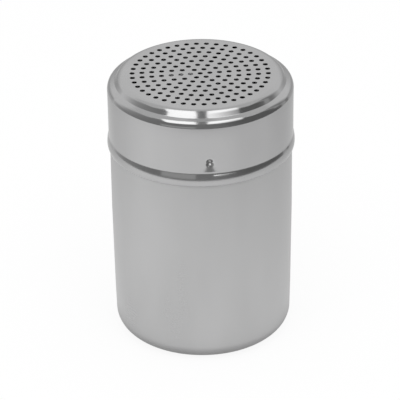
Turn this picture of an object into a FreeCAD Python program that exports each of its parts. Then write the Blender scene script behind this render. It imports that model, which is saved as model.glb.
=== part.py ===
import FreeCAD, Part
import math
import os
import Sketcher

# Stainless steel spice shaker: a drawn cup and a perforated lid that twists onto it.
# Millimetres and degrees. Z is up, the cup stands on Z = 0, and the front faces -Y.

# Driving sizes of the whole shaker
OVERALL = {
    "total_height": 107.9,
}

# Driving sizes of the cup, with radii to its outer face
CUP = {
    "cup_radius": 34.9,
    "cup_wall": 0.5,
    "base_taper": 0.7,
    "base_corner_radius": 6.6,
    "taper_top_height": 30.0,
}

# Driving sizes of the lid, with depths from the top of its crown and insets from the
# outer face of its skirt
LID = {
    "lid_height": 29.7,
    "lid_sheet": 0.35,
    "lid_clearance": 0.25,
    "crown_flat_inset": 6.15,
    "crown_roll_radius": 3.5,
    "crown_roll_turn": 52.5,
    "valley_inset": 2.3,
    "valley_depth": 2.78,
    "shoulder_depth": 5.1,
    "shoulder_roll_radius": 2.05,
    "shoulder_roll_turn": 80.0,
    "bead_stand": 0.6,
    "bead_roll_radius": 8.0,
    "bead_roll_turn": 17.0,
    "bead_hollow_height": 1.97,
    "bead_height": 2.4,
}

# The holes lie on rings, each with six more than the ring inside it. The margin is from
# the centres of the last ring to the edge of the crown's flat.
HOLES = {
    "hole_diameter": 2.0,
    "hole_sides": 6,
    "hole_margin": 3.45,
    "hole_rings": 7,
    "ring_step": 6,
    "hole_start": 7.1,
}

# Two pips pressed into the lid's skirt ride in two tracks pressed into the cup's wall.
# The pips' rise is from the lid's lower edge to their middle.
TWIST_LOCK = {
    "pip_count": 2,
    "pip_azimuth": 95.0,
    "pip_rise": 9.9,
    "pip_mouth_radius": 1.5,
    "pip_floor_radius": 0.8,
    "pip_press_depth": 1.3,
    "track_clearance": 0.3,
    "lock_turn": 35.0,
}

# How far a cutting shape runs past the face that it cuts
CUTTING = {
    "overrun": 1.0,
}

# Straight facets that each round bend is drawn with
CORNER_FACETS = 4
CROWN_ROLL_FACETS = 2
SHOULDER_ROLL_FACETS = 2
BEAD_FACETS = 2

V = FreeCAD.Vector
ALONG_Y = V(0, 1, 0)
FULL_TURN = 360.0
QUARTER_TURN = 90.0

# Names of a sketch's own points and axes
START, END = range(1, 3)
HORIZONTAL_AXIS, VERTICAL_AXIS = range(-1, -3, -1)
ORIGIN = HORIZONTAL_AXIS

# Places that both pieces share, as expressions of the sheet's cells
SKIRT_RADIUS = "(sizes.cup_radius + sizes.lid_clearance + sizes.lid_sheet)"
CROWN_FLAT_RADIUS = f"({SKIRT_RADIUS} - sizes.crown_flat_inset)"
PIP_DEPTH = "(sizes.lid_height - sizes.pip_rise)"
PIP_HEIGHT = f"(sizes.total_height - {PIP_DEPTH})"
RIM_HEIGHT = "(sizes.total_height - sizes.shoulder_depth)"
DOME_MOUTH_RADIUS = "(sizes.pip_mouth_radius + sizes.lid_sheet)"
DOME_TIP_RADIUS = "(sizes.pip_floor_radius + sizes.lid_sheet)"
PIP_TIP_PLACE = f"({SKIRT_RADIUS} - sizes.pip_press_depth - sizes.lid_sheet)"
TRACK_FLOOR_PLACE = f"({PIP_TIP_PLACE} - sizes.track_clearance)"


def fillSheet(doc):
    sheet = doc.addObject("Spreadsheet::Sheet", "sizes")
    row = 0
    for group in (OVERALL, CUP, LID, HOLES, TWIST_LOCK, CUTTING):
        for alias, value in group.items():
            row += 1
            sheet.set(f"A{row}", alias)
            sheet.set(f"B{row}", str(value))
            sheet.setAlias(f"B{row}", alias)
    doc.recompute()
    return sheet


def valueOf(doc, expression):
    return float(doc.sizes.evalExpression(f"({expression}) * 1"))


def originFeature(body, role):
    return next(item for item in body.Origin.OriginFeatures if item.Role == role)


def newSketch(body, name, role):
    sketch = body.newObject("Sketcher::SketchObject", name)
    sketch.AttachmentSupport = [(originFeature(body, role), "")]
    sketch.MapMode = "FlatFace"
    return sketch


def constrain(sketch, *constraint):
    return sketch.addConstraint(Sketcher.Constraint(*constraint))


def bind(sketch, name, expression, *constraint):
    index = constrain(sketch, *constraint)
    sketch.renameConstraint(index, name)
    sketch.setExpression(f"Constraints.{name}", expression)


# The corners of a round bend's facets, as pairs of expressions. The angles count from
# the +X direction, anticlockwise.
def bendCorners(centreX, centreY, radius, fromAngle, toAngle, facets):
    corners = []
    for place in range(facets + 1):
        angle = f"(({fromAngle}) + (({toAngle}) - ({fromAngle})) * {place} / {facets}) * 1deg"
        corners.append((f"{centreX} + {radius} * cos({angle})",
                        f"{centreY} + {radius} * sin({angle})"))
    return corners


def drawLine(sketch, start, end):
    return sketch.addGeometry(Part.LineSegment(start, end), False)


# Draws straight lines from corner to corner, each corner held by its two expressions
def drawOutline(sketch, corners):
    doc = sketch.Document
    points = [V(valueOf(doc, x), valueOf(doc, y), 0) for x, y in corners]
    lines = [drawLine(sketch, *pair) for pair in zip(points, points[1:])]
    for before, after in zip(lines, lines[1:]):
        constrain(sketch, "Coincident", before, END, after, START)
    places = [(line, START) for line in lines] + [(lines[-1], END)]
    for number, (place, point, corner) in enumerate(zip(places, points, corners)):
        for axis, size, expression in (("X", point.x, corner[0]), ("Y", point.y, corner[1])):
            if expression == "0":
                target = VERTICAL_AXIS if axis == "X" else HORIZONTAL_AXIS
                constrain(sketch, "PointOnObject", *place, target)
            else:
                bind(sketch, f"corner{number}{axis}", expression,
                     f"Distance{axis}", ORIGIN, START, *place, size)
    return lines, points


def crossing(firstStart, firstEnd, secondStart, secondEnd):
    along = firstEnd - firstStart
    across = secondEnd - secondStart
    gap = secondStart - firstStart
    share = (gap.x * across.y - gap.y * across.x) / (along.x * across.y - along.y * across.x)
    return firstStart + along * share


# Corners of the line that runs beside an outline at a distance, to its left for side 1
def besideOutline(points, distance, side):
    moved = []
    for start, end in zip(points, points[1:]):
        along = (end - start).normalize()
        shift = V(-along.y, along.x, 0) * side * distance
        moved.append((start + shift, end + shift))
    inner = [moved[0][0]]
    inner += [crossing(*before, *after) for before, after in zip(moved, moved[1:])]
    return inner + [moved[-1][1]]


# Draws the section of a sheet metal wall: its outer outline, which starts on the axis,
# the inner one at one sheet's thickness from it, and the edges that join their ends.
def drawSheetSection(sketch, corners, thicknessCell, side):
    thickness = valueOf(sketch.Document, thicknessCell)
    outer, points = drawOutline(sketch, corners)
    innerPoints = besideOutline(points, thickness, side)
    inner = [drawLine(sketch, *pair) for pair in zip(innerPoints, innerPoints[1:])]
    for before, after in zip(inner, inner[1:]):
        constrain(sketch, "Coincident", before, END, after, START)
    for number, (outerLine, innerLine) in enumerate(zip(outer, inner)):
        constrain(sketch, "Parallel", outerLine, innerLine)
        bind(sketch, f"sheet{number}", thicknessCell,
             "Distance", outerLine, START, innerLine, thickness)
    constrain(sketch, "PointOnObject", inner[0], START, VERTICAL_AXIS)
    axisLine = drawLine(sketch, innerPoints[0], points[0])
    constrain(sketch, "Coincident", axisLine, START, inner[0], START)
    constrain(sketch, "Coincident", axisLine, END, outer[0], START)
    edge = drawLine(sketch, points[-1], innerPoints[-1])
    constrain(sketch, "Coincident", edge, START, outer[-1], END)
    constrain(sketch, "Coincident", edge, END, inner[-1], END)
    constrain(sketch, "Perpendicular", edge, outer[-1])


def drawPolygon(sketch, corners):
    lines, points = drawOutline(sketch, corners)
    closing = drawLine(sketch, points[-1], points[0])
    constrain(sketch, "Coincident", lines[-1], END, closing, START)
    constrain(sketch, "Coincident", closing, END, lines[0], START)


def spin(body, name, kind, sketch, angle):
    feature = body.newObject(kind, name)
    feature.Profile = sketch
    feature.ReferenceAxis = (sketch, ["V_Axis"])
    feature.setExpression("Angle", angle)
    body.Document.recompute()
    return feature


def repeatRound(body, feature, count):
    pattern = body.newObject("PartDesign::PolarPattern", f"{feature.Name}_repeated")
    pattern.Originals = [feature]
    pattern.Axis = (originFeature(body, "Z_Axis"), [""])
    pattern.Angle = FULL_TURN
    pattern.Occurrences = count
    body.Tip = pattern
    body.Document.recompute()


# The drawn cup, from the middle of its base to its rim
def makeCup(doc, sheet):
    body = doc.addObject("PartDesign::Body", "cup")
    body.Label = "cup"
    sketch = newSketch(body, "cup_section", "XZ_Plane")
    corners = [("0", "0")]
    corners += bendCorners("sizes.cup_radius - sizes.base_taper - sizes.base_corner_radius",
                           "sizes.base_corner_radius", "sizes.base_corner_radius",
                           -QUARTER_TURN, 0, CORNER_FACETS)
    corners += [
        ("sizes.cup_radius", "sizes.taper_top_height"),
        ("sizes.cup_radius", RIM_HEIGHT),
    ]
    drawSheetSection(sketch, corners, "sizes.cup_wall", 1)
    spin(body, "drawn_cup", "PartDesign::Revolution", sketch, f"{FULL_TURN}")
    pressTracks(body, sheet)
    body.setExpression("Placement.Rotation.Angle", "sizes.pip_azimuth * 1deg")
    return body


# Each track is an upright entry from the rim and a level run from it to where the pip
# locks. The sheet is first raised inside the wall and then pressed in from outside.
def pressTracks(body, sheet):
    ridgePlaces = (f"({TRACK_FLOOR_PLACE} - sizes.cup_wall)",
                   f"(sizes.cup_radius - sizes.cup_wall / 2)")
    trackPlaces = (TRACK_FLOOR_PLACE, f"(sizes.cup_radius + sizes.overrun)")
    pressTrackRun(body, sheet, "ridge_run", "PartDesign::Revolution", ridgePlaces,
                  "(sizes.track_clearance + sizes.cup_wall)")
    pressTrackEntry(body, sheet, "ridge_entry", "PartDesign::Pad", ridgePlaces,
                    "(sizes.track_clearance + sizes.cup_wall)", RIM_HEIGHT)
    pressTrackRun(body, sheet, "track_run", "PartDesign::Groove", trackPlaces,
                  "sizes.track_clearance")
    pressTrackEntry(body, sheet, "track_entry", "PartDesign::Pocket", trackPlaces,
                    "sizes.track_clearance", f"({RIM_HEIGHT} + sizes.overrun)")


# A level run with the slope of the pip's flanks, wider than the pip by a spare
def pressTrackRun(body, sheet, name, kind, places, spare):
    floor, mouth = places
    flank = (f"(({DOME_MOUTH_RADIUS} - {DOME_TIP_RADIUS})"
             f" / ({SKIRT_RADIUS} - sizes.lid_sheet - {PIP_TIP_PLACE}))")
    floorHalf = f"({DOME_TIP_RADIUS} + {spare})"
    mouthHalf = f"({floorHalf} + ({mouth} - {floor}) * {flank})"
    endAngle = f"atan(({DOME_MOUTH_RADIUS} + {spare}) / sizes.cup_radius)"
    sketch = newSketch(body, f"{name}_section", "XZ_Plane")
    drawPolygon(sketch, [
        (floor, f"{PIP_HEIGHT} - {floorHalf}"),
        (mouth, f"{PIP_HEIGHT} - {mouthHalf}"),
        (mouth, f"{PIP_HEIGHT} + {mouthHalf}"),
        (floor, f"{PIP_HEIGHT} + {floorHalf}"),
    ])
    sketch.AttachmentOffset = FreeCAD.Placement(V(0, 0, 0), FreeCAD.Rotation(ALONG_Y, 0))
    sketch.setExpression("AttachmentOffset.Rotation.Angle", f"0deg - {endAngle}")
    run = spin(body, name, kind, sketch, f"sizes.lock_turn * 1deg + {endAngle}")
    repeatRound(body, run, int(sheet.pip_count))


# An upright box from below the run to the top, wider than the pip by a spare. Its outer
# corners lie on the round wall where its mouth is.
def pressTrackEntry(body, sheet, name, kind, places, spare, top):
    floor, mouth = places
    halfWidth = f"({DOME_MOUTH_RADIUS} + {spare})"
    bottom = f"({PIP_HEIGHT} - {halfWidth})"
    cornerPlace = f"sqrt({mouth} ^ 2 - {halfWidth} ^ 2)"
    sketch = newSketch(body, f"{name}_section", "XY_Plane")
    drawPolygon(sketch, [
        (floor, f"0 - {halfWidth}"),
        (cornerPlace, f"0 - {halfWidth}"),
        (cornerPlace, halfWidth),
        (floor, halfWidth),
    ])
    sketch.setExpression("AttachmentOffset.Base.z", bottom)
    sketch.setExpression("AttachmentOffset.Rotation.Angle", "sizes.lock_turn * 1deg")
    entry = body.newObject(kind, name)
    entry.Profile = sketch
    entry.setExpression("Length", f"{top} - {bottom}")
    entry.Reversed = kind == "PartDesign::Pocket"
    body.Document.recompute()
    repeatRound(body, entry, int(sheet.pip_count))


# The pressed lid, from the middle of its crown to its lower edge, and its holes
def makeLid(doc, sheet):
    body = doc.addObject("PartDesign::Body", "lid_blank")
    sketch = newSketch(body, "lid_section", "XZ_Plane")
    corners = [("0", "0")]
    corners += bendCorners(CROWN_FLAT_RADIUS, "0 - sizes.crown_roll_radius",
                           "sizes.crown_roll_radius",
                           QUARTER_TURN, f"{QUARTER_TURN} - sizes.crown_roll_turn",
                           CROWN_ROLL_FACETS)
    corners += [(f"{SKIRT_RADIUS} - sizes.valley_inset", "0 - sizes.valley_depth")]
    corners += bendCorners(f"{SKIRT_RADIUS} - sizes.shoulder_roll_radius",
                           "0 - sizes.shoulder_depth", "sizes.shoulder_roll_radius",
                           "sizes.shoulder_roll_turn", 0, SHOULDER_ROLL_FACETS)
    corners += [(SKIRT_RADIUS, "0 - sizes.lid_height")]
    drawSheetSection(sketch, corners, "sizes.lid_sheet", -1)
    spin(body, "pressed_lid", "PartDesign::Revolution", sketch, f"{FULL_TURN}")
    rollBead(body)
    pressPips(body, sheet)
    body.setExpression("Placement.Base.z", "sizes.total_height")
    body.setExpression("Placement.Rotation.Angle", "sizes.pip_azimuth * 1deg")
    lid = doc.addObject("Part::Cut", "lid")
    lid.Label = "lid"
    lid.Base = body
    lid.Tool = makePunches(doc, sheet)
    return lid


# The bead where the skirt's lower edge is rolled outwards, from the middle of the sheet
def rollBead(body):
    sketch = newSketch(body, "bead_section", "XZ_Plane")
    middlePlace = f"{SKIRT_RADIUS} - sizes.lid_sheet / 2"
    rollDepth = "(sizes.lid_height - sizes.bead_height)"
    rollTop = f"sizes.bead_roll_radius * sin(sizes.bead_roll_turn * 1deg) - {rollDepth}"
    corners = [(middlePlace, f"{rollTop} + sizes.bead_hollow_height")]
    corners += bendCorners(f"{SKIRT_RADIUS} + sizes.bead_stand - sizes.bead_roll_radius",
                           f"0 - {rollDepth}", "sizes.bead_roll_radius",
                           "sizes.bead_roll_turn",
                           "0 - asin(sizes.bead_height / sizes.bead_roll_radius) / 1deg",
                           BEAD_FACETS)
    corners += [(middlePlace, "0 - sizes.lid_height")]
    drawPolygon(sketch, corners)
    spin(body, "rolled_bead", "PartDesign::Revolution", sketch, f"{FULL_TURN}")


# Dimples with sloping sides, pressed in from outside. Each is a dome inside the skirt
# that starts in the middle of the sheet, and a hollow in it.
def pressPips(body, sheet):
    middlePlace = f"({SKIRT_RADIUS} - sizes.lid_sheet / 2)"
    mouthPlace = f"({SKIRT_RADIUS} + sizes.overrun)"
    floorPlace = f"({SKIRT_RADIUS} - sizes.pip_press_depth)"
    flank = "((sizes.pip_mouth_radius - sizes.pip_floor_radius) / sizes.pip_press_depth)"
    inward = FreeCAD.Rotation(ALONG_Y, -QUARTER_TURN)
    for name, kind, outerPlace, innerPlace, floorRadius in (
            ("dome", "PartDesign::AdditiveCone", middlePlace, PIP_TIP_PLACE, DOME_TIP_RADIUS),
            ("hollow", "PartDesign::SubtractiveCone", mouthPlace, floorPlace,
             "sizes.pip_floor_radius")):
        cone = body.newObject(kind, f"pip_{name}")
        cone.Placement = FreeCAD.Placement(V(0, 0, 0), inward)
        cone.setExpression("Radius1", f"{floorRadius} + {flank} * ({outerPlace} - {innerPlace})")
        cone.setExpression("Radius2", floorRadius)
        cone.setExpression("Height", f"{outerPlace} - {innerPlace}")
        cone.setExpression("Placement.Base.x", outerPlace)
        cone.setExpression("Placement.Base.z", f"0 - {PIP_DEPTH}")
        body.Document.recompute()
        repeatRound(body, cone, int(sheet.pip_count))


# Upright prisms on rings about the axis, which punch the holes in the crown
def makePunches(doc, sheet):
    length = sheet.lid_sheet + 2 * sheet.overrun
    sides = int(sheet.hole_sides)
    pitch = (valueOf(doc, CROWN_FLAT_RADIUS) - sheet.hole_margin) / sheet.hole_rings
    punches = []
    for ring in range(int(sheet.hole_rings) + 1):
        count = max(ring * int(sheet.ring_step), 1)
        for place in range(count):
            azimuth = sheet.hole_start + FULL_TURN * place / count
            middle = polar(ring * pitch, azimuth)
            corners = [middle + polar(sheet.hole_diameter / 2, azimuth + FULL_TURN * side / sides)
                       for side in range(sides + 1)]
            punches.append(Part.Face(Part.makePolygon(corners)).extrude(V(0, 0, length)))
    feature = doc.addObject("Part::Feature", "punches")
    feature.Shape = Part.makeCompound(punches)
    bottom = sheet.total_height - sheet.lid_sheet - sheet.overrun
    feature.Placement = FreeCAD.Placement(V(0, 0, bottom), FreeCAD.Rotation())
    return feature


def polar(radius, angle):
    return V(radius * math.cos(math.radians(angle)), radius * math.sin(math.radians(angle)), 0)


def checkDocument(doc, pieces):
    for item in doc.Objects:
        if "Invalid" in item.State or "Error" in item.State:
            raise RuntimeError(f"{item.Label} failed: {item.State}")
        if item.TypeId == "Sketcher::SketchObject" and not item.FullyConstrained:
            print(item.Label, "isn't fully constrained")
    for piece in pieces:
        shape = piece.Shape
        if shape.isNull() or not shape.isValid() or len(shape.Solids) != 1:
            raise RuntimeError(f"{piece.Label} isn't one valid solid")
        box = shape.BoundBox
        print(piece.Label, "volume", round(shape.Volume, 2), "from", round(box.ZMin, 3),
              "to", round(box.ZMax, 3))


def main():
    doc = FreeCAD.newDocument("spice_shaker")
    sheet = fillSheet(doc)
    pieces = [makeCup(doc, sheet), makeLid(doc, sheet)]
    doc.recompute()
    checkDocument(doc, pieces)
    os.makedirs("parts", exist_ok=True)
    for piece in pieces:
        piece.Shape.exportStep(f"parts/{piece.Label}.step")


main()
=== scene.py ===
import math
import bmesh
import bpy
from mathutils import Matrix, Vector


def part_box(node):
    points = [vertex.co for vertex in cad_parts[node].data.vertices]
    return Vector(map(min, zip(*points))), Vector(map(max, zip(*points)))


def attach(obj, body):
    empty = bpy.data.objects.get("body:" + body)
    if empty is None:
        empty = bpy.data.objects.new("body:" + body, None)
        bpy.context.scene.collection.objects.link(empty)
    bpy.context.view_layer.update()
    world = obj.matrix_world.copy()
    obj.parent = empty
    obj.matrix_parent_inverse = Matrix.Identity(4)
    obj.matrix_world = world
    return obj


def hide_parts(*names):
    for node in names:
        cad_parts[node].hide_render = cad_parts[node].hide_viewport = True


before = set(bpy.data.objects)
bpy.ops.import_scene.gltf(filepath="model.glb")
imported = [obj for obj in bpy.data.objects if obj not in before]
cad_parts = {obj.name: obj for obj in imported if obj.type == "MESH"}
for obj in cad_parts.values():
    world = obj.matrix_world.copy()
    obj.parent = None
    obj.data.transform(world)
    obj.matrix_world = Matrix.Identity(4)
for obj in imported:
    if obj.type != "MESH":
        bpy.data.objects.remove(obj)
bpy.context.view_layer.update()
mm = 0.001

# What both pieces share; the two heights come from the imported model
shared = {
    "segments": 192,               # faces round the axis
    "bendStep": 7,                 # degrees of a bend that one face covers
    "mergeDistance": 0.002 * mm,
    "topHeight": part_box("lid")[1].z,
    "rimHeight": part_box("cup")[1].z,
    "pipAzimuth": -85,             # degrees from +X, the second pip is opposite
    "pipDrop": 19.8 * mm,          # from the crown's top to the middle of a pip
    "lockTurn": 35,                # degrees from the locked place to the entry slots
}


def polar(radius, degrees, height=0.0):
    angle = math.radians(degrees)
    return Vector((radius * math.cos(angle), radius * math.sin(angle), height))


# Falls smoothly from 1 at no share to 0 at a full one
def easeOut(share):
    return (1 + math.cos(math.pi * min(share, 1))) / 2


# A profile of straight runs from corner to corner, each corner rounded to its radius
def drawProfile(bm, corners):
    points = [Vector((radius, 0, height)) for radius, height, bend in corners]
    verts = [bm.verts.new(point) for point in points]
    for start, end in zip(verts, verts[1:]):
        bm.edges.new((start, end))
    for number in range(len(corners) - 2, 0, -1):
        bend = corners[number][2]
        if bend == 0:
            continue
        before = points[number] - points[number - 1]
        after = points[number + 1] - points[number]
        turn = before.angle(after)
        faces = max(2, round(math.degrees(turn) / shared["bendStep"]))
        bmesh.ops.bevel(bm, geom=[verts[number]], offset=bend * math.tan(turn / 2),
                        offset_type="OFFSET", segments=faces, profile=0.5,
                        affect="VERTICES", material=-1)


def mergeDoubles(bm):
    bmesh.ops.remove_doubles(bm, verts=bm.verts[:], dist=shared["mergeDistance"])


def spinProfile(bm):
    mergeDoubles(bm)
    bmesh.ops.spin(bm, geom=bm.verts[:] + bm.edges[:], cent=(0, 0, 0), axis=(0, 0, 1),
                   angle=math.tau, steps=shared["segments"], use_merge=True,
                   use_duplicate=False)
    mergeDoubles(bm)


# Makes the faces in a window finer, then moves their vertices towards the axis
def pressIn(bm, inWindow, cuts, depthAt):
    faces = [face for face in bm.faces if inWindow(face.calc_center_median())]
    edges = list({edge for face in faces for edge in face.edges})
    made = bmesh.ops.subdivide_edges(bm, edges=edges, cuts=cuts, use_grid_fill=True)
    moved = {item for item in made["geom_inner"] if isinstance(item, bmesh.types.BMVert)}
    moved |= {vert for edge in edges if edge.is_valid for vert in edge.verts}
    for vert in moved:
        outward = Vector((vert.co.x, vert.co.y, 0))
        vert.co -= outward.normalized() * depthAt(vert.co, outward.length)


def thicken(bm, thickness):
    bmesh.ops.recalc_face_normals(bm, faces=bm.faces[:])
    bmesh.ops.solidify(bm, geom=bm.faces[:], thickness=thickness)


def meshObject(name, bm, material):
    mesh = bpy.data.meshes.new(name)
    bm.to_mesh(mesh)
    bm.free()
    mesh.materials.append(material)
    item = bpy.data.objects.new(name, mesh)
    bpy.context.scene.collection.objects.link(item)
    return item


def finishPiece(name, bm, material, body, node):
    bmesh.ops.recalc_face_normals(bm, faces=bm.faces[:])
    for face in bm.faces:
        face.smooth = True
    piece = meshObject(name, bm, material)
    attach(piece, body)
    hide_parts(node)
    print(name, "has", len(piece.data.polygons), "faces")


# Node helpers for materials
def addNode(tree, kind, inputs=None, **values):
    node = tree.nodes.new(kind)
    for name, value in values.items():
        setattr(node, name, value)
    for name, value in (inputs or {}).items():
        if isinstance(value, bpy.types.NodeSocket):
            tree.links.new(value, node.inputs[name])
        else:
            node.inputs[name].default_value = value
    return node


def calc(tree, operation, *values):
    inputs = dict(enumerate(values))
    return addNode(tree, "ShaderNodeMath", inputs, operation=operation).outputs[0]


def mapRange(tree, value, before, after):
    return addNode(tree, "ShaderNodeMapRange",
                   {"Value": value, "From Min": before[0], "From Max": before[1],
                    "To Min": after[0], "To Max": after[1]}).outputs[0]


def objectPlace(tree):
    place = addNode(tree, "ShaderNodeTexCoord").outputs["Object"]
    return place, addNode(tree, "ShaderNodeSeparateXYZ", {"Vector": place}).outputs


def newMaterial(name):
    material = bpy.data.materials.new(name)
    material.use_nodes = True
    material.node_tree.nodes.clear()
    return material, material.node_tree


# Satin steel: fine rings left by the polishing wheel, and soft clouds in its sheen
polish = {
    "linesPerMetre": 7000,
    "lineBreaksPerMetre": 60,      # how often a line changes on its way round
    "lineDetail": 3.0,
    "lineRange": (0.2, 0.8),       # noise values that span the lines' change of roughness
    "bumpDepth": 0.0002 * mm,
    "cloudsPerMetre": 50,
    "cloudSquash": 0.35,           # a cloud's width as a share of its height
    "cloudDetail": 2.0,
    "cloudRange": (0.3, 0.7),      # noise values that span the clouds' change
    "grain": 0.5,                  # how much wider the sheen is across the polishing lines
    "grainTurn": 0.25,             # turns between the sheen and the way round the axis
}
cupFinish = {
    "darkTone": (0.485, 0.485, 0.487, 1),
    "lightTone": (0.537, 0.537, 0.539, 1),
    "roughness": 0.30,
    "roughnessSpread": 0.03,
    "ringRoughness": 0.01,
}
lidFinish = {
    "darkTone": (0.437, 0.437, 0.439, 1),
    "lightTone": (0.48, 0.48, 0.482, 1),
    "roughness": 0.13,
    "roughnessSpread": 0.015,
    "ringRoughness": 0.02,
}


def satinSteel(name, look):
    material, tree = newMaterial(name)
    place, parts = objectPlace(tree)
    flat = addNode(tree, "ShaderNodeCombineXYZ", {"X": parts["X"], "Y": parts["Y"]}).outputs[0]
    radius = addNode(tree, "ShaderNodeVectorMath", {0: flat}, operation="LENGTH").outputs["Value"]
    along = calc(tree, "ADD", radius, parts["Z"])
    ringPlace = addNode(tree, "ShaderNodeCombineXYZ", {
        "X": calc(tree, "MULTIPLY", along, polish["linesPerMetre"]),
        "Y": calc(tree, "MULTIPLY", parts["X"], polish["lineBreaksPerMetre"]),
        "Z": calc(tree, "MULTIPLY", parts["Y"], polish["lineBreaksPerMetre"])}).outputs[0]
    rings = addNode(tree, "ShaderNodeTexNoise",
                    {"Vector": ringPlace, "Scale": 1.0,
                     "Detail": polish["lineDetail"]}).outputs[0]
    tall = addNode(tree, "ShaderNodeVectorMath", {0: place, 1: (1, 1, polish["cloudSquash"])},
                   operation="MULTIPLY").outputs[0]
    clouds = addNode(tree, "ShaderNodeTexNoise",
                     {"Vector": tall, "Scale": polish["cloudsPerMetre"],
                      "Detail": polish["cloudDetail"]}).outputs[0]
    cloudRough = mapRange(tree, clouds, polish["cloudRange"],
                          (look["roughness"] - look["roughnessSpread"],
                           look["roughness"] + look["roughnessSpread"]))
    ringRough = mapRange(tree, rings, polish["lineRange"],
                         (-look["ringRoughness"], look["ringRoughness"]))
    ramp = addNode(tree, "ShaderNodeValToRGB", {"Fac": clouds})
    tones = (look["darkTone"], look["lightTone"])
    for stop, position, tone in zip(ramp.color_ramp.elements, polish["cloudRange"], tones):
        stop.position = position
        stop.color = tone
    bump = addNode(tree, "ShaderNodeBump", {"Height": rings, "Strength": 1.0,
                                            "Distance": polish["bumpDepth"]}).outputs[0]
    around = addNode(tree, "ShaderNodeTangent", direction_type="RADIAL", axis="Z").outputs[0]
    shader = addNode(tree, "ShaderNodeBsdfPrincipled", {
        "Base Color": ramp.outputs[0], "Metallic": 1.0,
        "Roughness": calc(tree, "ADD", cloudRough, ringRough),
        "Anisotropic": polish["grain"], "Anisotropic Rotation": polish["grainTurn"],
        "Normal": bump, "Tangent": around})
    addNode(tree, "ShaderNodeOutputMaterial", {"Surface": shader.outputs[0]})
    return material


cup = {
    "radius": 35.05 * mm,
    "wall": 0.5 * mm,
    "footRadius": 34.2 * mm,       # where the taper meets the table
    "cornerBend": 6.6 * mm,
    "taperTop": 34.0 * mm,
    "taperBend": 1400 * mm,
    "neckRadius": 34.9 * mm,       # drawn in a little where the lid goes over
    "neckStart": 77.3 * mm,
    "neckFull": 79.3 * mm,
    "neckBend": 3 * mm,
    "neckBottom": 81.8 * mm,       # lowest of the finer rows that the tracks are pressed in
    "trackRow": 1.1 * mm,
    "trackCuts": 1,
    "trackDepth": 1.35 * mm,
    "trackHalfWidth": 2.8 * mm,
    "trackEdge": 2.2 * mm,         # run over which the sheet bends into a track
}


# How deep a track is pressed in at a place on the wall
def trackDepthAt(place, radius):
    depth = 0.0
    azimuth = math.degrees(math.atan2(place.y, place.x))
    pipHeight = shared["topHeight"] - shared["pipDrop"]
    for turned in (0, 180):
        angle = (azimuth - shared["pipAzimuth"] - turned + 90) % 360 - 90
        along = math.radians(angle) * radius
        entry = math.radians(shared["lockTurn"]) * radius
        runGap = math.hypot(max(-along, along - entry, 0), place.z - pipHeight)
        entryGap = math.hypot(along - entry, max(pipHeight - place.z, 0))
        inside = cup["trackHalfWidth"] - min(runGap, entryGap)
        share = min(max(inside / cup["trackEdge"] + 0.5, 0), 1)
        depth = max(depth, cup["trackDepth"] * share * share * (3 - 2 * share))
    return depth


def makeCup():
    bm = bmesh.new()
    neckHeight = shared["rimHeight"] - cup["neckBottom"]
    rows = round(neckHeight / cup["trackRow"])
    corners = [(0, 0, 0), (cup["footRadius"], 0, cup["cornerBend"]),
               (cup["radius"], cup["taperTop"], cup["taperBend"]),
               (cup["radius"], cup["neckStart"], cup["neckBend"]),
               (cup["neckRadius"], cup["neckFull"], cup["neckBend"])]
    corners += [(cup["neckRadius"], cup["neckBottom"] + neckHeight / rows * row, 0)
                for row in range(rows + 1)]
    drawProfile(bm, corners)
    spinProfile(bm)
    pressIn(bm, lambda centre: centre.z > cup["neckBottom"], cup["trackCuts"], trackDepthAt)
    thicken(bm, cup["wall"])
    finishPiece("cupShell", bm, satinSteel("cupSteel", cupFinish), "cup", "cup")


# Depths are measured down from the crown's top
lid = {
    "sheet": 0.35 * mm,
    "flatRadius": 28.4 * mm,
    "rollCorner": 30.91 * mm,      # where the crown's flat and its slope would meet
    "rollBend": 2.8971 * mm,
    "valleyRadius": 32.72 * mm,    # foot of the slope
    "valleyDepth": 2.43 * mm,
    "valleyBend": 0.35 * mm,
    "ringRadius": 34.63 * mm,      # outer end of the nearly flat ring round the slope
    "ringDepth": 3.26 * mm,
    "ringBend": 2.0 * mm,
    "skirtTop": 35.58 * mm,        # radius where the ring and the skirt would meet
    "shoulderCorner": 4.6 * mm,
    "shoulderBend": 3.0 * mm,
    "skirtRadius": 35.5 * mm,
    "taperDepth": 13.0 * mm,       # where the skirt's slight taper ends
    "taperBend": 500 * mm,
    "hollowBend": 2.9 * mm,        # above the bead
    "beadRadius": 36.08 * mm,
    "beadBend": 9.0 * mm,
    "beadDepth": 27.75 * mm,       # where the bead is widest
    "bendShare": 0.998,            # keeps the bends of the bead a hair apart
    "edgeRadius": 35.66 * mm,
    "edgeDepth": 29.7 * mm,
    "edgeBend": 0.55 * mm,
    "edgeReturn": 0.6 * mm,        # how far the edge is turned in under the bead
    "holeRadius": 1.0 * mm,
    "holeSides": 16,
    "holeCollar": 0.05 * mm,       # width of the drawn-in edge of a hole
    "collarDropShare": 0.6,        # its drop as a share of its width
    "holePitch": 3.7 * mm,
    "holeRings": 7,
    "holesAdded": 6,               # how many more holes each ring has
    "holeStart": 7.1,              # degrees that the pattern is turned
}
pip = {
    "radius": 1.9 * mm,
    "dimpleDepth": 0.88 * mm,
    "runDepth": 0.5 * mm,
    "runLength": 3.9 * mm,
    "runTop": 2.0 * mm,            # how far above the pip's middle the run-out starts
    "runHalfWidth": 2.4 * mm,
    "runSpread": 0.7,              # how fast the run-out widens
    "halfWindow": 4.7 * mm,
    "rowsTop": 16.4 * mm,          # depths between which the skirt's rows are finer
    "rowsBottom": 23.7 * mm,
    "rows": 6,
    "cuts": 5,
}


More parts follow.
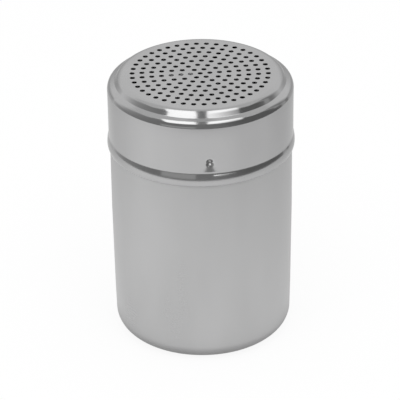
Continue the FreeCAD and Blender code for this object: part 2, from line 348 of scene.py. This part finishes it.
# The flat of the crown: rings of holes in a disc, each with a drawn-in edge
def makeCrownFlat(bm):
    outer = bmesh.ops.create_circle(bm, cap_ends=False, segments=shared["segments"],
                                    radius=lid["flatRadius"])
    loopEdges = list({edge for vert in outer["verts"] for edge in vert.link_edges})
    middles = {}
    for ring in range(lid["holeRings"] + 1):
        count = max(lid["holesAdded"] * ring, 1)
        for place in range(count):
            middle = polar(ring * lid["holePitch"], lid["holeStart"] + 360 * place / count)
            circle = bmesh.ops.create_circle(bm, cap_ends=False, segments=lid["holeSides"],
                                             radius=lid["holeRadius"] + lid["holeCollar"],
                                             matrix=Matrix.Translation(middle))
            for vert in circle["verts"]:
                middles[vert] = middle
    holeEdges = list({edge for vert in middles for edge in vert.link_edges})
    bmesh.ops.triangle_fill(bm, use_beauty=True, use_dissolve=False,
                            edges=loopEdges + holeEdges, normal=(0, 0, 1))
    for edge in holeEdges:
        edge.smooth = False        # keeps the flat's shading level
    made = bmesh.ops.extrude_edge_only(bm, edges=holeEdges)
    for vert in [item for item in made["geom"] if isinstance(item, bmesh.types.BMVert)]:
        rim = next(edge.other_vert(vert) for edge in vert.link_edges
                   if edge.other_vert(vert) in middles)
        middle = middles[rim]
        vert.co = middle + (rim.co - middle).normalized() * lid["holeRadius"]
        vert.co.z = -lid["holeCollar"] * lid["collarDropShare"]


# How far a place is to the side of the nearer pip, along the skirt
def besidePip(place, radius):
    azimuth = math.degrees(math.atan2(place.y, place.x))
    angle = (azimuth - shared["pipAzimuth"] + 90) % 180 - 90
    return abs(math.radians(angle) * radius)


# How deep a pip is pressed in at a place on the skirt: a round dimple, and a shallow
# run-out below it that widens towards the bead
def pipDepthAt(place, radius):
    across = besidePip(place, radius)
    below = -place.z - shared["pipDrop"]
    dimple = easeOut(math.hypot(across, below) / pip["radius"])
    fade = max(1 - below / pip["runLength"], 0) if below > 0 else easeOut(-below / pip["runTop"])
    halfWidth = pip["runHalfWidth"] + pip["runSpread"] * max(below, 0)
    runOut = fade * easeOut(across / halfWidth)
    return pip["dimpleDepth"] * dimple + pip["runDepth"] * runOut


def nearPip(centre):
    across = besidePip(centre, lid["skirtRadius"])
    return across < pip["halfWindow"] and pip["rowsTop"] < -centre.z < pip["rowsBottom"]


# From the rim of the crown's flat down to the turned-in edge. The hollow, the bead and
# the draw-in below the bead are arcs that run into each other.
def lidCorners():
    beadOut = lid["beadRadius"] - lid["skirtRadius"]
    beadTurn = math.acos(1 - beadOut / (lid["hollowBend"] + lid["beadBend"]))
    beadTop = lid["beadDepth"] - lid["beadBend"] * math.tan(beadTurn / 2)
    hollowTop = beadTop - beadOut / math.tan(beadTurn)
    drawRun = lid["edgeDepth"] - lid["beadDepth"]
    drawIn = lid["beadRadius"] - lid["edgeRadius"]
    drawBend = (drawRun * drawRun + drawIn * drawIn) / (2 * drawIn)
    drawTurn = math.asin(drawRun / drawBend)
    beadLow = lid["beadDepth"] + drawBend * math.tan(drawTurn / 2)
    row = (pip["rowsBottom"] - pip["rowsTop"]) / pip["rows"]
    corners = [(lid["flatRadius"], 0, 0), (lid["rollCorner"], 0, lid["rollBend"]),
               (lid["valleyRadius"], -lid["valleyDepth"], lid["valleyBend"]),
               (lid["ringRadius"], -lid["ringDepth"], lid["ringBend"]),
               (lid["skirtTop"], -lid["shoulderCorner"], lid["shoulderBend"]),
               (lid["skirtRadius"], -lid["taperDepth"], lid["taperBend"])]
    corners += [(lid["skirtRadius"], -pip["rowsTop"] - row * place, 0)
                for place in range(pip["rows"] + 1)]
    corners += [(lid["skirtRadius"], -hollowTop, lid["hollowBend"] * lid["bendShare"]),
                (lid["beadRadius"], -beadTop, lid["beadBend"] * lid["bendShare"]),
                (lid["beadRadius"], -beadLow, drawBend * lid["bendShare"]),
                (lid["edgeRadius"], -lid["edgeDepth"], lid["edgeBend"]),
                (lid["edgeRadius"] - lid["edgeReturn"], -lid["edgeDepth"], 0)]
    return corners


def makeLid():
    bm = bmesh.new()
    drawProfile(bm, lidCorners())
    spinProfile(bm)
    pressIn(bm, nearPip, pip["cuts"], pipDepthAt)
    makeCrownFlat(bm)
    mergeDoubles(bm)
    thicken(bm, lid["sheet"])
    bmesh.ops.translate(bm, verts=bm.verts[:], vec=(0, 0, shared["topHeight"]))
    finishPiece("lidShell", bm, satinSteel("lidSteel", lidFinish), "lid", "lid")


def placeStage(name, bm, material):
    item = meshObject(name, bm, material)
    return item


# A pale floor that looks white to the camera, with a soft shadow; in the metal it shows a painted
# pool of light, painted shade behind the shaker and a painted contact shadow round its foot
floor = {
    "size": 6.0,
    "tone": (0.8, 0.8, 0.8, 1),
    "glow": (0.9, 0.7),            # share of plain light for the camera, and in metal
    "paintedPool": (-0.17, -0.09, 0),     # middle of a painted pool of light, the brightest place of the floor as the metal shows it
    "paintedPoolTones": (1.03, 0.7),      # painted light there, and at the pool's reach
    "paintedPoolReach": 0.5,
    "paintedShadeBehindTones": (1.0, 0.58),    # painted shade: share of it beside the shaker and behind it
    "paintedShadeBehindFall": (-0.04, 0.2),    # y at the start and the end of that change
    "paintedContactShadowTones": (0.5, 1.0),    # painted contact shadow: share of it beside the shaker's foot and further out
    "paintedContactShadowFall": (0.034, 0.0435),    # distances from the axis
}


def makeFloor():
    material, tree = newMaterial("paleFloor")
    path = addNode(tree, "ShaderNodeLightPath").outputs
    cameraShare, metalShare = floor["glow"]
    byMetal = calc(tree, "MAXIMUM", path["Is Glossy Ray"], path["Is Transmission Ray"])
    byCamera = calc(tree, "MULTIPLY", path["Is Camera Ray"], cameraShare)
    share = calc(tree, "MULTIPLY_ADD", byMetal, metalShare, byCamera)
    place, parts = objectPlace(tree)
    fromPaintedPool = addNode(tree, "ShaderNodeVectorMath", {0: place, 1: floor["paintedPool"]},
                       operation="DISTANCE").outputs["Value"]
    fromAxis = addNode(tree, "ShaderNodeVectorMath", {0: place},
                       operation="LENGTH").outputs["Value"]
    # Painted light and shade in the floor that only the metal sees: a pool of light, shade behind
    # the shaker and a contact shadow at its foot
    paintedPoolTone = mapRange(tree, fromPaintedPool, (0, floor["paintedPoolReach"]), floor["paintedPoolTones"])
    paintedShadeBehind = mapRange(tree, parts["Y"], floor["paintedShadeBehindFall"], floor["paintedShadeBehindTones"])
    paintedContactShadow = mapRange(tree, fromAxis, floor["paintedContactShadowFall"], floor["paintedContactShadowTones"])
    paintedFloorLight = calc(tree, "MULTIPLY", paintedPoolTone, paintedShadeBehind)
    paintedReflectedFloorTone = calc(tree, "MULTIPLY", paintedFloorLight, paintedContactShadow)
    tone = addNode(tree, "ShaderNodeMix",
                   {"Factor": path["Is Camera Ray"], "A": paintedReflectedFloorTone, "B": 1.0},
                   data_type="FLOAT").outputs[0]
    matt = addNode(tree, "ShaderNodeBsdfDiffuse", {"Color": floor["tone"]}).outputs[0]
    glow = addNode(tree, "ShaderNodeEmission", {"Strength": tone}).outputs[0]
    mixed = addNode(tree, "ShaderNodeMixShader", {0: share, 1: matt, 2: glow}).outputs[0]
    addNode(tree, "ShaderNodeOutputMaterial", {"Surface": mixed})
    bm = bmesh.new()
    bmesh.ops.create_grid(bm, x_segments=1, y_segments=1, size=floor["size"] / 2)
    placeStage("floor", bm, material)
    print("floor laid,", floor["size"], "m across")


# Only the metal sees the painted reflections: the glowing dark room and the glowing panels
def hideFromCamera(item):
    item.visible_camera = False
    item.visible_diffuse = False
    item.visible_shadow = False


# Painted reflection of the dark room round the camera's side, from the table's edge to overhead: a
# glowing sheet that lights nothing
paintedReflectionRoom = {
    "near": 0.28,                  # where the table ends in front of the shaker
    "radius": 2.4,
    "wide": 1.12,                  # how much further the table reaches at the sides
    "lift": 0.001,                 # above the floor
    "halfSpan": 128,               # degrees each side of the front
    "top": 86,                     # degrees of elevation
    "rows": 12,
    "steps": 64,
    "lowSpread": 0.89,             # at table height the same tones lie further out
    "spreadHeights": (0.1, 0.4),   # where that starts to fade and where it ends
    # Brightness of the painted reflection at directions in degrees, from the left end round the
    # front to the right
    "tones": ((-128, 0.95), (-116, 0.85), (-109, 0.7), (-103, 0.56), (-97, 0.46), (-86, 0.38),
              (-66, 0.31), (-50, 0.28), (-30, 0.27), (0, 0.275), (25, 0.25), (50, 0.18),
              (88, 0.18), (96, 0.24), (98, 0.5), (104, 0.5), (106, 0.28), (112, 0.34),
              (118, 0.6), (128, 0.85)),
}


# A glow that lights nothing, its tone set by direction: the painted reflection of the room
def paintedReflectionRoomGlow(halfSpan):
    material, tree = newMaterial("paintedReflectionRoomGlow")
    parts = objectPlace(tree)[1]
    angle = calc(tree, "ARCTAN2", parts["X"], calc(tree, "MULTIPLY", parts["Y"], -1.0))
    spread = mapRange(tree, parts["Z"], paintedReflectionRoom["spreadHeights"], (paintedReflectionRoom["lowSpread"], 1.0))
    direction = calc(tree, "MULTIPLY", angle, spread)
    share = mapRange(tree, direction, (-halfSpan, halfSpan), (0.0, 1.0))
    ramp = addNode(tree, "ShaderNodeValToRGB", {"Fac": share})
    stops = ramp.color_ramp.elements
    for number, (degrees, tone) in enumerate(paintedReflectionRoom["tones"]):
        position = 0.5 + degrees / (2 * paintedReflectionRoom["halfSpan"])
        stop = stops[number] if number < 2 else stops.new(position)    # a ramp starts with two
        stop.position = position
        stop.color = (tone, tone, tone, 1)
    glow = addNode(tree, "ShaderNodeEmission", {"Color": ramp.outputs[0]})
    addNode(tree, "ShaderNodeOutputMaterial", {"Surface": glow.outputs[0]})
    return material


def makePaintedReflectionRoom():
    halfSpan = math.radians(paintedReflectionRoom["halfSpan"])
    bm = bmesh.new()
    start = polar(1, -90 - paintedReflectionRoom["halfSpan"])
    lift = Vector((0, 0, paintedReflectionRoom["lift"]))
    verts = [bm.verts.new(start * paintedReflectionRoom["near"] + lift)]
    for row in range(paintedReflectionRoom["rows"] + 1):
        elevation = math.radians(paintedReflectionRoom["top"] * row / paintedReflectionRoom["rows"])
        point = start * paintedReflectionRoom["radius"] * math.cos(elevation) + lift
        point.z += paintedReflectionRoom["radius"] * math.sin(elevation)
        verts.append(bm.verts.new(point))
    for low, high in zip(verts, verts[1:]):
        bm.edges.new((low, high))
    bmesh.ops.spin(bm, geom=bm.verts[:] + bm.edges[:], cent=(0, 0, 0), axis=(0, 0, 1),
                   angle=2 * halfSpan, steps=paintedReflectionRoom["steps"], use_merge=False,
                   use_duplicate=False)
    bmesh.ops.scale(bm, verts=bm.verts[:], vec=(paintedReflectionRoom["wide"], 1, 1))
    hideFromCamera(placeStage("paintedReflectionRoom", bm, paintedReflectionRoomGlow(halfSpan)))
    print("curtain hung with", len(paintedReflectionRoom["tones"]), "tones")


# Where a panel has a fall, its tone changes to its end tone between those two places
# Glowing panels and cards that light nothing and only the metal sees: painted highlights and
# painted reflections
paintedReflectionPanels = {
    "leftPaintedHighlight": {                 # painted highlight: with the right one, the bright windows in the crown's slope
        "corners": ((-0.054, 0.12, 1.29), (-0.12, -1.32, 1.29), (-1.27, -1.32, 1.29),
                    (-0.48, 0.12, 1.29)),
        "tone": 2.05,
    },
    "rightPaintedHighlight": {
        "corners": ((0.072, 0.12, 1.29), (0.192, -1.32, 1.29), (1.65, -1.32, 1.29),
                    (0.49, 0.12, 1.29)),
        "tone": 2.05,
        "endTone": 0.3,
        "fall": ((0.449, -0.202, 0), (1.338, -0.6, 0)),
    },
    "sidePaintedReflection": {                  # painted reflection: what the crown's rolled rim shows
        "corners": ((-1.3, 0.9, 1.46), (-1.3, -0.2, 1.46), (1.3, -0.2, 1.46), (1.3, 0.9, 1.46)),
        "tone": 0.76,
    },
    "gapPaintedShade": {                   # painted shade in the reflections: darker above the gap between the two painted highlights
        "corners": ((-0.16, 0.4, 1.45), (-0.16, -0.2, 1.45), (0.16, -0.2, 1.45), (0.16, 0.4, 1.45)),
        "tone": 0.26,
        "endTone": 0.76,
        "fall": ((0, 0.02, 0), (0, 0.36, 0)),
    },
    "backPaintedReflection": {                 # painted reflection: what the crown's flat shows, darker near the table
        "corners": ((-2.6, 1.5, 0), (2.6, 1.5, 0), (2.6, 1.5, 2.5), (-2.6, 1.5, 2.5)),
        "tone": 0.52,
        "endTone": 0.9,
        "fall": ((0, 0, 0.15), (0, 0, 0.85)),
    },
    "lowLeftPaintedReflection": {               # painted reflection: the paler stretch on the bead's left
        "corners": ((-0.32, -0.31, 0.01), (-0.05, -0.447, 0.01), (-0.05, -0.447, 0.14),
                    (-0.32, -0.31, 0.14)),
        "tone": 0.5,
    },
    "beadPaintedHighlight": {                 # painted highlight: the bead's spot; level with the shoulder, which it misses
        "corners": ((0.046, -0.19, 0.1022), (0.213, -0.863, 0.1022), (0.542, -0.63, 0.1022),
                    (0.114, -0.154, 0.1022)),
        "tone": 2.3,
        "endTone": 0.3,
        "fall": ((0.046, -0.19, 0), (0.211, -0.149, 0)),
    },
}


def toneAlong(tree, paintedPanel):
    place = objectPlace(tree)[0]
    start, finish = (Vector(point) for point in paintedPanel["fall"])
    run = (finish - start) / (finish - start).length_squared
    fromStart = addNode(tree, "ShaderNodeVectorMath", {0: place, 1: start},
                        operation="SUBTRACT").outputs[0]
    along = addNode(tree, "ShaderNodeVectorMath", {0: fromStart, 1: run},
                    operation="DOT_PRODUCT").outputs["Value"]
    return mapRange(tree, along, (0, 1), (paintedPanel["tone"], paintedPanel["endTone"]))


def makePaintedReflectionPanels():
    for name, paintedPanel in paintedReflectionPanels.items():
        material, tree = newMaterial(name)
        strength = toneAlong(tree, paintedPanel) if "fall" in paintedPanel else paintedPanel["tone"]
        glow = addNode(tree, "ShaderNodeEmission", {"Strength": strength})
        addNode(tree, "ShaderNodeOutputMaterial", {"Surface": glow.outputs[0]})
        bm = bmesh.new()
        bm.faces.new([bm.verts.new(corner) for corner in paintedPanel["corners"]])
        hideFromCamera(placeStage(name, bm, material))
    print(len(paintedReflectionPanels), "panels and cards hung")


# Two soft lamps that light the floor
lamps = {
    "azimuths": {"leftBox": -118, "rightBox": -62},
    "elevation": 58,
    "distance": 1.1,               # from the place they aim at
    "aimHeight": 0.09,
    "size": 0.6,
    "power": 2.6,
}


def makeLamps():
    angle = math.radians(lamps["elevation"])
    target = Vector((0, 0, lamps["aimHeight"]))
    for name, azimuth in lamps["azimuths"].items():
        light = bpy.data.lights.new(name, "AREA")
        light.shape = "SQUARE"
        light.size = lamps["size"]
        light.energy = lamps["power"]
        box = bpy.data.objects.new(name, light)
        towards = polar(math.cos(angle), azimuth, math.sin(angle))
        box.location = target + towards * lamps["distance"]
        box.rotation_euler = (-towards).to_track_quat("-Z", "Y").to_euler()
        box.visible_glossy = False
        bpy.context.scene.collection.objects.link(box)
    print(len(lamps["azimuths"]), "lamps set")


air = {
    "tone": (1, 1, 1, 1),
    "strength": 1.0,
}


def makeWorld():
    world = bpy.data.worlds.new("studioAir")
    bpy.context.scene.world = world
    world.use_nodes = True
    tree = world.node_tree
    tree.nodes.clear()
    background = addNode(tree, "ShaderNodeBackground",
                         {"Color": air["tone"], "Strength": air["strength"]}).outputs[0]
    addNode(tree, "ShaderNodeOutputWorld", {"Surface": background})
    print("white background set")


camera = {
    "pitch": 29.1426,              # degrees below the horizon
    "roll": -0.7898,
    "lens": 233.86,                # millimetres, as the sensor is
    "sensor": 36,
    "place": (-0.736 * mm, -885.64 * mm, 546.56 * mm),
    "clip": (0.01, 100),
}


def makeCamera():
    data = bpy.data.cameras.new("camera")
    data.lens = camera["lens"]
    data.sensor_width = camera["sensor"]
    data.clip_start, data.clip_end = camera["clip"]
    holder = bpy.data.objects.new("camera", data)
    tilt = Matrix.Rotation(math.radians(90 - camera["pitch"]), 4, "X")
    roll = Matrix.Rotation(math.radians(camera["roll"]), 4, "Z")
    holder.matrix_world = Matrix.Translation(camera["place"]) @ tilt @ roll
    bpy.context.scene.collection.objects.link(holder)
    bpy.context.scene.camera = holder
    print("camera placed")


makeCup()
makeLid()
makeFloor()
makePaintedReflectionRoom()
makePaintedReflectionPanels()
makeLamps()
makeWorld()
makeCamera()
bpy.context.scene.view_settings.view_transform = "Standard"
